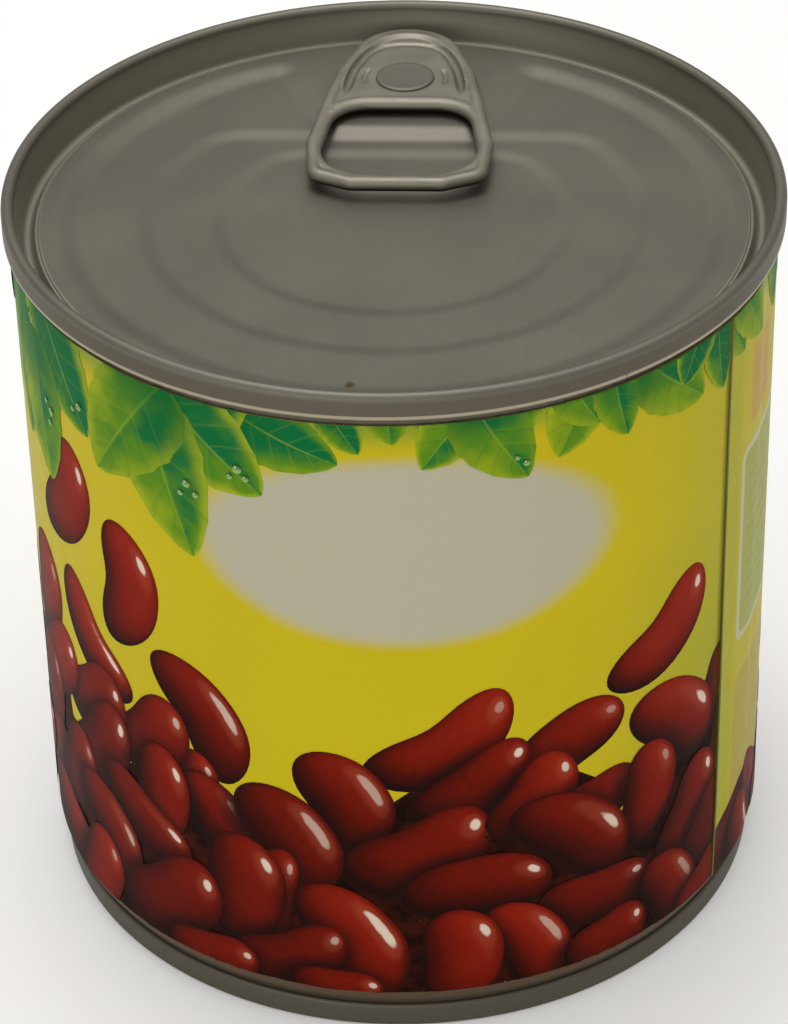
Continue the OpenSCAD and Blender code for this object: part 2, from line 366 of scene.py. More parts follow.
def tinplate():
    """Satin tinplate with rolling grain, cloudy patches, fine scratches and a few rust specks, with
    painted shade on the seams' outsides and near the floor and painted light on the chuck wall and
    along the top seam's foot.
    """
    found = bpy.data.materials.get("tinplate_satin")
    if found:
        return found
    board = Board("tinplate_satin")
    place = board.place()
    x, y, z = board.parts(place)
    radius = board.length(x, y)
    cloud = board.noise(place, 60.0, 4.0, 0.55)
    grain = board.noise(board.scaled(place, (1.0, 0.12, 1.0)), 4200.0, 2.0, 0.6)
    mottle = board.noise(place, 900.0, 3.0, 0.6)
    colour = board.mix(board.smooth(cloud, 0.3, 0.7), toned(steel().panel_colour, 0.93),
                       toned(steel().panel_colour, 1.05))
    colour = board.mix(board.smooth(grain, 0.35, 0.65, 0.0, 0.10), colour,
                       toned(steel().panel_colour, 0.6))
    # Painted shade on the seams' outer faces, below the top seam's edge.
    outside = board.smooth(radius, BODY_R - 1.3 * MM, BODY_R - 0.2 * MM)
    below_top = board.smooth(z, CAN_HIGH - 1.1 * MM, CAN_HIGH - 0.15 * MM, 1.0, 0.0)
    colour = board.mix(board.times(outside, below_top), colour, steel().seam_shade_colour)
    # Painted light: the chuck wall and its groove are lightened.
    lit_wall = board.times(board.band(radius, TOP_R - 2.7 * MM, 1.2 * MM, 0.3 * MM),
                          board.smooth(z, CAN_HIGH - 1.2 * MM, CAN_HIGH - 0.4 * MM, 1.0, 0.0))
    colour = board.mix(board.times(lit_wall, 0.8), colour, (0.34, 0.32, 0.265))
    # Painted highlight: a bright line along the top seam's foot.
    seam_foot_highlight = board.times(board.smooth(radius, TOP_R - 0.6 * MM, TOP_R - 0.3 * MM),
                            board.band(z, CAN_HIGH - 2.72 * MM, 0.18 * MM, 0.14 * MM))
    colour = board.mix(board.times(seam_foot_highlight, 0.85), colour, (0.44, 0.39, 0.29))
    # Painted shade: the steel darkens towards the floor.
    colour = board.mix(board.smooth(z, LOW_STEEL + 2.0 * MM, LOW_STEEL, 0.0, 0.72), colour,
                       (0.060, 0.050, 0.036))
    neck = board.band(z, 5.0 * MM, 1.2 * MM, 0.8 * MM)
    colour = board.mix(board.times(neck, 0.7), colour, (0.16, 0.105, 0.058))
    speck = board.smooth(board.noise(place, 420.0, 2.0, 0.5), 0.70, 0.76)
    low_seam = board.times(board.smooth(radius, TOP_R - 1.0 * MM, TOP_R - 0.4 * MM),
                           board.band(z, CAN_HIGH - 3.0 * MM, 0.2 * MM, 0.5 * MM))
    colour = board.mix(board.times(speck, low_seam), colour, (0.10, 0.045, 0.018))
    stain_x = board.minus(x, STAIN[0])
    stain_y = board.minus(y, STAIN[1])
    stain_r = board.length(stain_x, stain_y)
    stain_r = board.plus(stain_r, board.times(mottle, 0.9 * MM))
    colour = board.mix(board.smooth(stain_r, 0.75 * MM, 1.25 * MM, 0.85, 0.0), colour,
                       (0.085, 0.058, 0.022))
    scratch = board.noise(board.scaled(place, (1.0, 0.05, 1.0)), 1500.0, 1.0, 0.4)
    scratch = board.times(board.band(scratch, 0.5, 0.003, 0.004), board.smooth(cloud, 0.52, 0.66))
    roughness = board.plus(0.46, board.times(cloud, 0.16))
    roughness = board.minus(roughness, board.times(scratch, 0.12))
    board.set(Base_Color=colour, Metallic=1.0, Roughness=roughness)
    height = board.plus(board.times(grain, 0.5), mottle)
    board.bump(board.minus(height, scratch), 0.16, 0.02 * MM)
    return board.material


def tab_steel():
    """Heavier tab steel, with painted highlights on its edges, painted shade in its hollows and
    painted shade underneath.
    """
    board = Board("tab_steel")
    place = board.place()
    pointed = board.add("ShaderNodeNewGeometry").outputs["Pointiness"]
    # Painted highlight: the convex edges are made brighter.
    edge_highlight = board.smooth(pointed, 0.50, 0.56)
    cloud = board.noise(place, 220.0, 4.0, 0.6)
    grain = board.noise(board.scaled(place, (0.15, 1.0, 1.0)), 3600.0, 2.0, 0.6)
    base = steel().tab_colour
    colour = board.mix(board.smooth(cloud, 0.3, 0.7), toned(base, 0.86), base)
    colour = board.mix(board.times(edge_highlight, 0.5), colour, toned(base, 1.35))
    # Painted shade: hollows and creases are darkened.
    colour = board.mix(board.smooth(pointed, 0.40, 0.48, 0.6, 0.0), colour, toned(base, 0.35))
    # Painted shade: faces that point downwards are darkened.
    upward = board.parts(board.add("ShaderNodeNewGeometry").outputs["Normal"])[2]
    colour = board.mix(board.smooth(upward, 0.10, -0.45, 0.0, 0.88), colour, (0.030, 0.028, 0.020))
    board.set(Base_Color=colour, Metallic=1.0,
              Roughness=board.smooth(cloud, 0.25, 0.75, 0.48, 0.60))
    board.bump(board.plus(grain, cloud), 0.14, 0.02 * MM)
    return board.material


WALL_RUN = 0.6           # how far the chuck wall leans in
GROOVE_WIDE = 1.4
TOP_SEAM_LONG = 3.1
SEAM_CORNER = 0.45       # radius of a seam's foot
SCORE_WIDE = 0.36


def end_face(seam_r, seam_t, flat, depth):
    """Seam, chuck wall and groove of an end, from its outside to its panel's edge.

    Height 0 is the top of the seam and the points are in millimetres."""
    round_r = (seam_t - flat) / 2
    edge = seam_r - seam_t - WALL_RUN - GROOVE_WIDE
    rise = [(seam_r, -2.2), (seam_r, -1.6), (seam_r - 0.01, -1.1)]
    return (rise + arc((seam_r - round_r, -round_r), round_r, 0, 90, 8)
            + arc((seam_r - seam_t + round_r, -round_r), round_r, 90, 180, 8)
            + [(seam_r - seam_t - 0.05, -1.3), (seam_r - seam_t - 0.25, -2.4)]
            + arc((edge + GROOVE_WIDE / 2, -depth - 0.25), GROOVE_WIDE / 2, 0, -180, 12)
            + arc((edge - 0.25, -depth - 0.25), 0.25, 0, 75, 4))


PANEL_STEP_R = 36            # the outer step, which stops short of the tab's nose
TAB_GAP = (20.5, 26)         # where it stops, in degrees from the nose
MIDDLE_STEP = (27.4, 18.1)   # radius, and how far back its straight side lies
INNER_STEP = (19.35, 14.45)
STEP_CORNER = 6


def rounded_cut_distance(x, y, radius, flat_y, corner):
    """Distance outside a disc that a straight side cuts off at flat_y, with round corners."""
    inner_r = radius - corner
    inner_y = flat_y - corner
    corner_x = math.sqrt(inner_r ** 2 - inner_y ** 2)
    if math.atan2(y, abs(x)) <= math.atan2(inner_y, corner_x):
        return math.hypot(x, y) - radius
    if abs(x) <= corner_x:
        return y - flat_y
    return math.hypot(abs(x) - corner_x, y - inner_y) - corner


def panel_drop(x, y):
    """How far the pressed steps lower the top panel at a point, in millimetres."""
    sizes = steel()
    away = math.degrees(abs(math.atan2(x, y)))
    ring = 1 - smooth_step(math.hypot(x, y), PANEL_STEP_R - 1.5, PANEL_STEP_R + 1.5)
    outer = ring * smooth_step(away, *TAB_GAP)
    middle = 1 - smooth_step(rounded_cut_distance(x, y, *MIDDLE_STEP, STEP_CORNER), -1.3, 1.3)
    inner = 1 - smooth_step(rounded_cut_distance(x, y, *INNER_STEP, STEP_CORNER), -1.2, 1.2)
    ground = max(outer, middle)
    return (ground * sizes.outer_drop + middle * sizes.middle_drop
            + inner * sizes.inner_drop) / MM


class CAN_OT_top_end(Operator):
    """Turn the top end and press its steps"""

    bl_idname = "can.top_end"
    bl_label = "Top end"

    def execute(self, context):
        sizes = steel()
        top = CAN_HIGH / MM
        seam_r = TOP_R / MM
        body_r = BODY_R / MM
        low = TOP_BOX[0].z / MM
        depth = sizes.panel_depth / MM
        face = end_face(seam_r, sizes.seam_width / MM, 0, depth)
        edge = face[-1][0]
        foot = top - TOP_SEAM_LONG
        rim = [(0, low), (body_r, low), (body_r, foot)]
        rim += arc((seam_r - SEAM_CORNER, foot + SEAM_CORNER), SEAM_CORNER, -90, -10, 6)
        rim += [(r, top + z) for r, z in face]
        score = [(edge - 0.06, top - depth - 0.02), (edge - 0.1, top - depth - 0.11),
                 (edge - 0.2, top - depth - 0.12), (edge - 0.28, top - depth - 0.03),
                 (edge - SCORE_WIDE, top - depth)]
        rings = 108
        start = edge - SCORE_WIDE
        panel = [(start * (1 - i / rings), top - depth) for i in range(1, rings + 1)]
        piece = turn_profile("top_end_steel", rim + score + panel, sizes.turns)
        for vertex in piece.data.vertices:
            x, y, z = vertex.co / MM
            if z > top - depth - 0.3 and math.hypot(x, y) < start - 0.1:
                vertex.co.z -= panel_drop(x, y) * MM
        smooth_shade(piece, 40)
        finish_piece(piece, tinplate(), "tinplate", "top_end")
        return {"FINISHED"}


BASE_SEAM = (1.4, 0.4)   # thickness of the bottom seam and of the flat along its edge
BASE_SEAM_IN = 0.6       # how far it lies inside the body
BASE_SEAM_LONG = 3.1
BASE_STEP_R = 28.4       # the raised middle of the base
BASE_RISE = 0.7
BASE_BEAD_R = 15.5
BASE_BEAD = 0.25


class CAN_OT_bottom_end(Operator):
    """Turn the bottom end with its neck, seam and stepped base"""

    bl_idname = "can.bottom_end"
    bl_label = "Bottom end"

    def execute(self, context):
        sizes = steel()
        seam_r = BODY_R / MM - BASE_SEAM_IN
        high = BOTTOM_BOX[1].z / MM
        depth = sizes.panel_depth / MM
        face = [(r, -z) for r, z in end_face(seam_r, *BASE_SEAM, depth)]
        rim = [(0, high), (BODY_R / MM, high), (BODY_R / MM, 5.3), (BODY_R / MM - 0.03, 5.05),
               (seam_r - 0.2, 3.9), (seam_r - 0.42, 3.3),
               (seam_r - SEAM_CORNER, BASE_SEAM_LONG)]
        rim += arc((seam_r - SEAM_CORNER, BASE_SEAM_LONG - SEAM_CORNER), SEAM_CORNER, 90, 10, 6)
        edge = face[-1][0]
        rings = 60
        panel = []
        for i in range(1, rings + 1):
            radius = edge * (1 - i / rings)
            rise = BASE_RISE * (1 - smooth_step(radius, BASE_STEP_R - 1, BASE_STEP_R + 1))
            bead = BASE_BEAD * (smooth_step(radius, BASE_BEAD_R - 1.5, BASE_BEAD_R - 0.5)
                                - smooth_step(radius, BASE_BEAD_R + 0.5, BASE_BEAD_R + 1.5))
            panel.append((radius, depth + rise - bead))
        piece = turn_profile("bottom_end_steel", rim + face + panel, sizes.turns)
        smooth_shade(piece, 40)
        finish_piece(piece, tinplate(), "tinplate", "bottom_end")
        return {"FINISHED"}


class CAN_OT_body(Operator):
    """Give the body behind the label its tinplate"""

    bl_idname = "can.body"
    bl_label = "Body"

    def execute(self, context):
        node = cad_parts["can_body"]
        node.data.materials.clear()
        node.data.materials.append(tinplate())
        return {"FINISHED"}


# ---------------------------------------------------------------- pull tab


def belt_normal(first, second):
    """Outward direction of the straight from one disc to the next, in degrees."""
    across, up = second[0] - first[0], second[1] - first[1]
    lean = math.asin((first[2] - second[2]) / math.hypot(across, up))
    return math.degrees(math.atan2(up, across)) - 90 + math.degrees(lean)


BELT_STEP = 6        # degrees from one point to the next round a disc


def belt(discs):
    """Points of an outline pulled tight round discs, in order counterclockwise."""
    points = []
    count = len(discs)
    for i in range(count):
        start = belt_normal(discs[i - 1], discs[i])
        end = belt_normal(discs[i], discs[(i + 1) % count])
        if end < start:
            end += 360
        steps = max(1, math.ceil((end - start) / BELT_STEP))
        points += arc(discs[i][:2], discs[i][2], start, end, steps)
    return points


def close_spaced(points, gap=0.4):
    """The same ring of points with more added, no further apart than the gap."""
    filled = []
    for first, last in zip(points, points[1:] + points[:1]):
        steps = max(1, math.ceil(math.dist(first, last) / gap))
        filled += [tuple(a + (b - a) * i / steps for a, b in zip(first, last))
                   for i in range(steps)]
    return filled


def grown(discs, by):
    return [(x, y, r + by) for x, y, r in discs]


def bar(name, points, radius, closed, fade=0):
    """A round bar along points given as (x, y, z) in millimetres, as a mesh.

    With fade, each open end thins out over that many points."""
    drop_selection()
    curve = bpy.data.curves.new(name, "CURVE")
    curve.dimensions = "3D"
    spline = curve.splines.new("POLY")
    spline.points.add(len(points) - 1)
    for target, point in zip(spline.points, points):
        target.co = (point[0] * MM, point[1] * MM, point[2] * MM, 1)
    for i, target in enumerate(spline.points):
        if fade:
            near_end = min(i, len(points) - 1 - i) / fade
            target.radius = 0.2 + 0.8 * smooth_step(near_end, 0, 1)
    spline.use_cyclic_u = closed
    curve.bevel_depth = radius * MM
    curve.bevel_resolution = 6
    curve.use_fill_caps = not closed
    piece = bpy.data.objects.new(name, curve)
    bpy.context.collection.objects.link(piece)
    pick(piece)
    bpy.ops.object.convert(target="MESH")
    return named(name)


def slab(name, outline, low, high):
    """A flat plate between two heights from an outline in millimetres."""
    drop_selection()
    bpy.ops.mesh.primitive_circle_add(vertices=len(outline), radius=MM, fill_type="NGON")
    piece = named(name)
    for vertex, point in zip(piece.data.vertices, outline):
        vertex.co = (point[0] * MM, point[1] * MM, low * MM)
    bpy.ops.object.mode_set(mode="EDIT")
    bpy.ops.mesh.select_all(action="SELECT")
    rise = {"value": (0, 0, (high - low) * MM)}
    bpy.ops.mesh.extrude_region_move(TRANSFORM_OT_translate=rise)
    bpy.ops.mesh.select_all(action="SELECT")
    bpy.ops.mesh.normals_make_consistent(inside=False)
    bpy.ops.object.mode_set(mode="OBJECT")
    return piece


def combine(piece, tool, operation):
    """Boolean with a tool piece, which is then removed."""
    apply_modifier(piece, "BOOLEAN", operation=operation, object=tool, solver="EXACT")
    bpy.data.objects.remove(tool)


TAB_LONG = 35.3
TAB_LIFT = 0.25      # the rolled edge's underside over the panel's edge
FINGER_DROP = 0.6    # how much lower the finger end hangs than the nose
HOLE_RIM = 1.9
HOLE_LONG = 15.2
SLOT_R = 4.7         # the two slots lie on this circle round the rivet


class CAN_OT_pull_tab(Operator):
    """Roll the tab's edge, fill in its web and cut its slots and its groove"""

    bl_idname = "can.pull_tab"
    bl_label = "Pull tab"

    def execute(self, context):
        roll = steel().roll_width / MM
        half = roll / 2
        nose = NOSE_Y / MM
        finger = nose - TAB_LONG
        low = TOP_BOX[1].z / MM - steel().panel_depth / MM + TAB_LIFT
        web_top = low + roll - 0.35
        rivet = RIVET_Y / MM
        right = [(4.9, finger + 2, 2), (7.9, finger + 3.7, 2.3), (5.65, finger + 9, 5),
                 (1.4, finger + 22.8, 7)]
        outline = right + [(0, nose - 6.4, 6.4)] + [(-x, y, r) for x, y, r in reversed(right)]
        hole_low = finger + HOLE_RIM
        hole_high = hole_low + HOLE_LONG
        hole = [(2.8, hole_low + 6, 6), (3.7, hole_high - 4.4, 4.4),
                (-3.7, hole_high - 4.4, 4.4), (-2.8, hole_low + 6, 6)]
        ring = belt(grown(outline, -half))
        tab = bar("pull_tab_steel", [(x, y, low + half) for x, y in ring], half - 0.01, True)
        web = slab("web", ring, web_top - 0.75, web_top)
        combine(web, slab("hole", belt(grown(hole, 0.6)), low - 1, web_top + 1),
                "DIFFERENCE")
        for side in (-1, 1):
            path = arc((0, rivet), SLOT_R, -24, 34, 14)
            slot = bar("slot", [(side * x, y, web_top + 0.12) for x, y in path], 0.4, False, 4)
            combine(web, slot, "DIFFERENCE")
        combine(tab, web, "UNION")
        inner = belt(grown(hole, 0.7))
        combine(tab, bar("inner", [(x, y, low + 0.9) for x, y in inner], 0.74, True), "UNION")
        fold = [p for p in close_spaced(belt(grown(hole, 0.95))) if p[1] > hole_high - 3.5]
        combine(tab, bar("fold", [(x, y, low + 0.88) for x, y in fold], 0.85, False, 12),
                "UNION")
        path = close_spaced(belt(grown(outline, -1.6)))
        path = [p for p in path if p[1] > hole_high + 0.8]
        shoulder = bar("shoulder", [(x, y, low + 0.87) for x, y in path], 0.90, False, 12)
        combine(tab, shoulder, "UNION")
        # across, back from the rivet, height over the web
        half_groove = [(6.7, -4.2, 0.12), (6.64, -3.6, 0.1), (6.58, -2.8, 0.1), (6.45, -1.6, 0.1),
                       (6.25, 0, 0.1), (5.95, 1.8, 0.1), (5.55, 3.2, 0.12), (5.1, 4.5, 0.15),
                       (4.8, 5.2, 0.19), (4.4, 6.0, 0.23), (3.7, 6.9, 0.27), (2.7, 7.6, 0.3),
                       (1.4, 8.0, 0.32)]
        path = half_groove + [(0, 8.1, 0.33)] + [(-x, y, z) for x, y, z in reversed(half_groove)]
        groove = [(x, rivet + y, web_top + z) for x, y, z in path]
        combine(tab, bar("groove", groove, 0.56, False, 3), "DIFFERENCE")
        apply_modifier(tab, "REMESH", mode="VOXEL", voxel_size=0.13 * MM)
        apply_modifier(tab, "SMOOTH", factor=0.5, iterations=14)
        for vertex in tab.data.vertices:
            share = smooth_step(vertex.co.y / MM, rivet - 3.6, finger + 4)
            vertex.co.z -= FINGER_DROP * MM * share
        pick(tab)
        bpy.ops.object.shade_smooth()
        finish_piece(tab, tab_steel(), "tab_steel", "pull_tab")
        return {"FINISHED"}


class CAN_OT_rivet(Operator):
    """Turn the rivet and set it in the tab"""

    bl_idname = "can.rivet"
    bl_label = "Rivet"

    def execute(self, context):
        low = RIVET_BOX[0].z / MM
        high = RIVET_BOX[1].z / MM
        profile = [(0, low + 0.01), (1.98, low + 0.01), (1.98, high - 0.42), (3.1, high - 0.4),
                   (3.33, high - 0.34), (3.39, high - 0.22), (3.34, high - 0.1),
                   (3.18, high - 0.02), (2.95, high - 0.005), (2.7, high - 0.02),
                   (2.4, high - 0.05), (1.4, high - 0.07), (0.6, high - 0.06), (0, high - 0.05)]
        piece = turn_profile("tab_rivet", profile, 96)
        bpy.ops.object.mode_set(mode="EDIT")
        bpy.ops.mesh.select_all(action="SELECT")
        bpy.ops.transform.translate(value=(0, RIVET_Y, 0))
        bpy.ops.object.mode_set(mode="OBJECT")
        smooth_shade(piece, 50)
        finish_piece(piece, tinplate(), "tinplate", "rivet")
        return {"FINISHED"}


# ---------------------------------------------------------------- label


SHEET_R = (BODY_R + PAPER * MM) / MM
FREE_AT = SHEET_R * (FREE_EDGE - FRONT_ANGLE)
ROUND = 2 * math.pi * SHEET_R
LABEL_LOW = LABEL_BOX[0].z / MM
LABEL_HIGH = LABEL_BOX[1].z / MM


CURL = 0.05              # radians of the sheet that stand up along its free edge


def wrap_sheet(piece):
    """Rolls flat work round the can. Flat x runs along the paper, y up it and z off it.

    x is 0 at the middle of the front on the outer end's turn, so the front that lies one
    turn further on has x = ROUND at its middle."""
    overlap = paper().overlap / MM / SHEET_R
    lift = paper().edge_lift / MM
    where = piece.data.attributes.new("sheet", "FLOAT_VECTOR", "POINT")
    for vertex, kept in zip(piece.data.vertices, where.data):
        along, up, off = vertex.co / MM
        kept.vector = (along, up, off)
        past = (along - FREE_AT) / SHEET_R
        settle = 1 - smooth_step(past, overlap, overlap * 1.35)
        raised = max(0.0, 1 - past / CURL) ** 2 * lift
        raised *= 0.35 + 0.65 * smooth_step(up, 70, 25) * smooth_step(up, 6, 16)
        radius = SHEET_R + off + PAPER * settle + raised
        angle = FREE_EDGE + past
        vertex.co = (radius * math.cos(angle) * MM, radius * math.sin(angle) * MM, up * MM)
    pick(piece)
    bpy.ops.object.mode_set(mode="EDIT")
    bpy.ops.mesh.select_all(action="SELECT")
    bpy.ops.mesh.normals_make_consistent(inside=False)
    bpy.ops.object.mode_set(mode="OBJECT")


OVAL_AT = (0.4, 66.6)        # from the middle of the front and from the floor
OVAL_HALF = (23.0, 12.0)
PANEL_INK = (0.36, 0.37, 0.075)
FRAME_INK = (0.50, 0.50, 0.30)
PLAIN_INK = (0.42, 0.34, 0.05)
ORANGE_INK = (0.50, 0.29, 0.055)
# Panels beside the overlap and round the back: middle along and up the sheet, then half sizes.
FRAMED_PANELS = [((53.5, 50.2), (8.0, 13.2)), ((98.0, 52.0), (14.0, 14.0))]
PLAIN_PANELS = [((53.5, 21.5), (8.0, 10.8)), ((76.5, 55.0), (4.5, 10.0))]
ORANGE_PANEL = ((51.2, 71.0), (3.6, 5.0))
ROW_STEP = 2.4               # from one faint rule in a framed panel to the next


def edge_shade(board, along, colour):
    """The dark line of shade that the paper's free edge throws beside it."""
    line = board.smooth(along, FREE_AT + ROUND - 1.3, FREE_AT + ROUND - 0.1, 0.0, 0.62)
    return board.mix(line, colour, (0.035, 0.030, 0.004))


def label_print():
    """Coated paper printed with a yellow field, a pale oval and plain framed panels."""
    inks = paper()
    board = Board("label_print")
    sheet = board.carried("sheet")
    along, up = board.parts(sheet)[:2]
    front = board.minus(along, ROUND)
    soft = board.noise(sheet, 0.06, 2.0, 0.5)
    field = board.mix(board.smooth(soft, 0.35, 0.65, 0.0, 0.35), inks.yellow,
                      toned(inks.yellow, 0.9))
    near_edge = board.smooth(board.plus(front, board.times(soft, 6.0)), 24.0, 45.0)
    # Towards the left side the field turns lime: partly the print's greener tint, partly painted
    # shade on the side that turns away from the light.
    left = board.smooth(front, -44.0, -60.0)
    low = board.smooth(up, 62.0, 40.0)
    green = board.times(near_edge, board.plus(0.45, board.times(low, 0.5)))
    field = board.mix(board.math("MAXIMUM", green, board.times(left, 0.35)), field, inks.lime)
    under_leaves = board.smooth(up, 79.0, 82.6, 0.0, 0.65)
    field = board.mix(under_leaves, field, (0.10, 0.26, 0.03))
    # pale oval
    wide = board.math("DIVIDE", board.minus(front, OVAL_AT[0]), OVAL_HALF[0])
    tall = board.math("DIVIDE", board.minus(up, OVAL_AT[1]), OVAL_HALF[1])
    ring = board.length(wide, tall)
    ring = board.plus(ring, board.times(soft, 0.06))
    field = board.mix(board.smooth(ring, 0.90, 1.10, 1.0, 0.0), field, inks.oval)
    # panels on the outer end and round the back
    line_noise = board.noise(board.scaled(sheet, (0.5, 3.0, 1.0)), 1.1, 3.0, 0.6)
    edge_strip = board.smooth(along, FREE_AT + 4.0, FREE_AT + 2.2)
    edge_strip = board.times(edge_strip, board.smooth(front, 0.0, -180.0))
    field = board.mix(board.times(edge_strip, 0.6), field, inks.lime)
    orange = board.frame_mask(along, up, *ORANGE_PANEL, 0.8, 0.35)
    field = board.mix(board.times(orange, 0.8), field, ORANGE_INK)
    for middle, half in FRAMED_PANELS:
        outer = board.frame_mask(along, up, middle, half, 1.8, 0.15)
        inner = board.frame_mask(along, up, middle, (half[0] - 0.9, half[1] - 0.9), 1.2, 0.15)
        field = board.mix(outer, field, FRAME_INK)
        field = board.mix(inner, field, PANEL_INK)
        rows = board.math("FRACT", board.math("DIVIDE", up, ROW_STEP))
        rows = board.times(board.band(rows, 0.5, 0.10, 0.08), board.smooth(line_noise, 0.42, 0.5))
        rows = board.times(rows, board.frame_mask(along, up, middle,
                                                  (half[0] - 2.4, half[1] - 2.6), 0.3, 0.2))
        field = board.mix(board.times(rows, 0.35), field, (0.20, 0.25, 0.05))
    for middle, half in PLAIN_PANELS:
        panel = board.frame_mask(along, up, middle, half, 2.0, 0.2)
        field = board.mix(board.times(panel, 0.9), field, PLAIN_INK)
    field = edge_shade(board, along, field)
    # faint scuffs and dust in the ink
    dust = board.noise(sheet, 1.6, 4.0, 0.65)
    field = board.mix(board.smooth(dust, 0.45, 0.8, 0.0, 0.14), field, toned(inks.yellow, 0.72))
    rough = board.smooth(board.noise(sheet, 0.5, 4.0, 0.6), 0.3, 0.7, 0.38, 0.5)
    board.set(Base_Color=field, Roughness=rough, Specular_IOR_Level=0.08)
    board.bump(board.noise(sheet, 2.2, 4.0, 0.6), 0.12, 0.05 * MM)
    return board.material


def paper_edge():
    """Raw cut edge of the paper with its fibres, darkened to olive as painted shade."""
    board = Board("paper_edge")
    fibres = board.noise(board.carried("sheet"), 6.0, 4.0, 0.6)
    board.set(Base_Color=board.mix(fibres, (0.20, 0.19, 0.06), (0.28, 0.26, 0.10)), Roughness=0.85)
    return board.material


class CAN_OT_label(Operator):
    """Wrap the printed paper round the body with its glued overlap"""

    bl_idname = "can.label"
    bl_label = "Label"

    def execute(self, context):
        sizes = paper()
        drop_selection()
        bpy.ops.mesh.primitive_grid_add(x_subdivisions=960, y_subdivisions=14, size=1)
        piece = named("paper_label")
        length = ROUND + sizes.overlap / MM
        for vertex in piece.data.vertices:
            along = FREE_AT + (vertex.co.x + 0.5) * length
            up = LABEL_LOW + (vertex.co.y + 0.5) * (LABEL_HIGH - LABEL_LOW)
            vertex.co = (along * MM, up * MM, 0)
        piece.data.materials.append(label_print())
        piece.data.materials.append(paper_edge())
        apply_modifier(piece, "SOLIDIFY", thickness=sizes.paper - 0.004 * MM, offset=-1,
                       material_offset_rim=1)
        wrap_sheet(piece)
        smooth_shade(piece, 40)
        finish_piece(piece, None, "printed_paper", "label")
        return {"FINISHED"}


# ---------------------------------------------------------------- printed beans and leaves


LAYER = 0.009        # height of one printed layer over the next, in millimetres
INK = 0.012          # thickness of one printed shape, in millimetres
FACES_ROUND = 40     # faces round each printed shape
RINGS = 9            # and rings of faces inside it
COVER_REACH = 22     # beans further apart than this throw no shade on one another
COVER_EDGE = 2.4     # how far a bean's shade reaches past its outline
COVER_FALL = (0.55, 0.75)    # how far left of the bean and below it its shade lies
HEAP_UP = 0.016      # heights of the lowest layers over the paper, in millimetres
LEAVES_UP = 0.02
BEANS_UP = 0.03
DEW_UP = 0.16

# Beans on the front: across and up from the middle of the front and the floor, length,
# width, turn in degrees, and how far they curl (towards their left side where positive).
LOOSE_BEANS = [
    (-44.5, 60.5, 16.5, 9.2, 62, 1.0), (-33.5, 54.0, 16.8, 9.0, 84, 1.1),
    (-40.5, 43.5, 17.0, 7.6, -48, 1.0), (-23.5, 41.0, 17.5, 8.8, -57, -1.0),
    (31.0, 47.5, 17.2, 8.6, 35, 1.0),
]
HEAP_BEANS = [
    (-25.5, 30.5, 11.0, 7.0, 70, 0.4), (-53.5, 42.0, 16.0, 10.0, 75, 0.5),
    (4.0, 41.0, 18.8, 8.6, 33, 1.0),
    (18.0, 38.0, 15.5, 8.4, 28, -0.5), (42.0, 34.5, 12.0, 9.0, 60, 0.6),
    (33.5, 34.5, 16.5, 9.4, -40, -0.6), (-31.0, 35.0, 14.0, 8.8, 48, 0.6),
    (-41.0, 34.5, 13.5, 9.4, 35, 0.5), (-7.0, 33.5, 14.5, 9.6, -62, -0.7),
    (7.0, 35.0, 16.0, 7.4, 35, 0.5), (14.0, 31.5, 13.5, 8.6, 52, 0.7),
    (22.0, 29.0, 11.0, 7.0, 10, 0.4), (-51.0, 34.0, 15.0, 9.0, 40, 0.5),
    (-55.0, 27.5, 15.0, 9.5, 80, 0.4), (44.0, 27.0, 13.0, 8.0, 70, 0.4),
    (-22.0, 27.0, 14.0, 8.4, -58, -0.6), (-13.5, 27.0, 16.2, 10.4, -60, -0.7),
    (-41.0, 28.0, 18.0, 9.0, 50, 0.7), (-30.0, 27.0, 15.0, 8.0, 82, 0.5),
    (29.0, 26.5, 14.0, 8.2, 80, 0.6), (19.0, 25.0, 18.0, 9.6, -42, -0.6),
    (1.0, 26.0, 18.2, 10.2, 26, 0.7), (-33.0, 22.5, 15.5, 7.8, -32, 0.5),
    (36.0, 20.0, 15.0, 8.4, 58, 0.7), (7.5, 20.5, 17.6, 8.8, 2, -0.4),
    (-55.0, 19.0, 14.0, 9.0, 20, 0.4), (-47.0, 21.0, 14.5, 8.5, 62, 0.5),
    (-15.5, 18.5, 14.0, 6.0, 82, -0.5), (-19.5, 18.0, 16.2, 10.2, 80, 0.5),
    (22.0, 15.0, 15.0, 7.8, -5, 0.5), (40.0, 15.5, 12.0, 8.0, 55, 0.5),
    (-39.5, 17.5, 14.5, 8.2, -45, -0.8), (-6.5, 13.5, 18.0, 10.2, -60, -0.6),
    (48.0, 9.5, 14.0, 8.5, 20, 0.5), (-50.0, 11.0, 15.0, 9.0, -30, 0.5),
    (13.5, 11.0, 15.0, 8.4, -60, -0.6), (-29.5, 12.5, 17.6, 10.4, 38, 0.6),
    (33.0, 10.0, 13.5, 8.6, -62, -0.5), (-14.0, 10.0, 15.5, 8.0, 24, 0.8),
    (5.5, 10.5, 14.5, 9.6, 88, 0.5), (-42.5, 9.0, 13.5, 8.5, 65, 0.5),
    (23.5, 7.5, 11.5, 8.6, 12, 0.5), (-24.0, 6.5, 13.0, 7.5, 8, 0.4),
    (-8.5, 6.0, 11.0, 6.5, -4, 0.4), (39.5, 6.5, 12.0, 8.0, 30, 0.5),
]
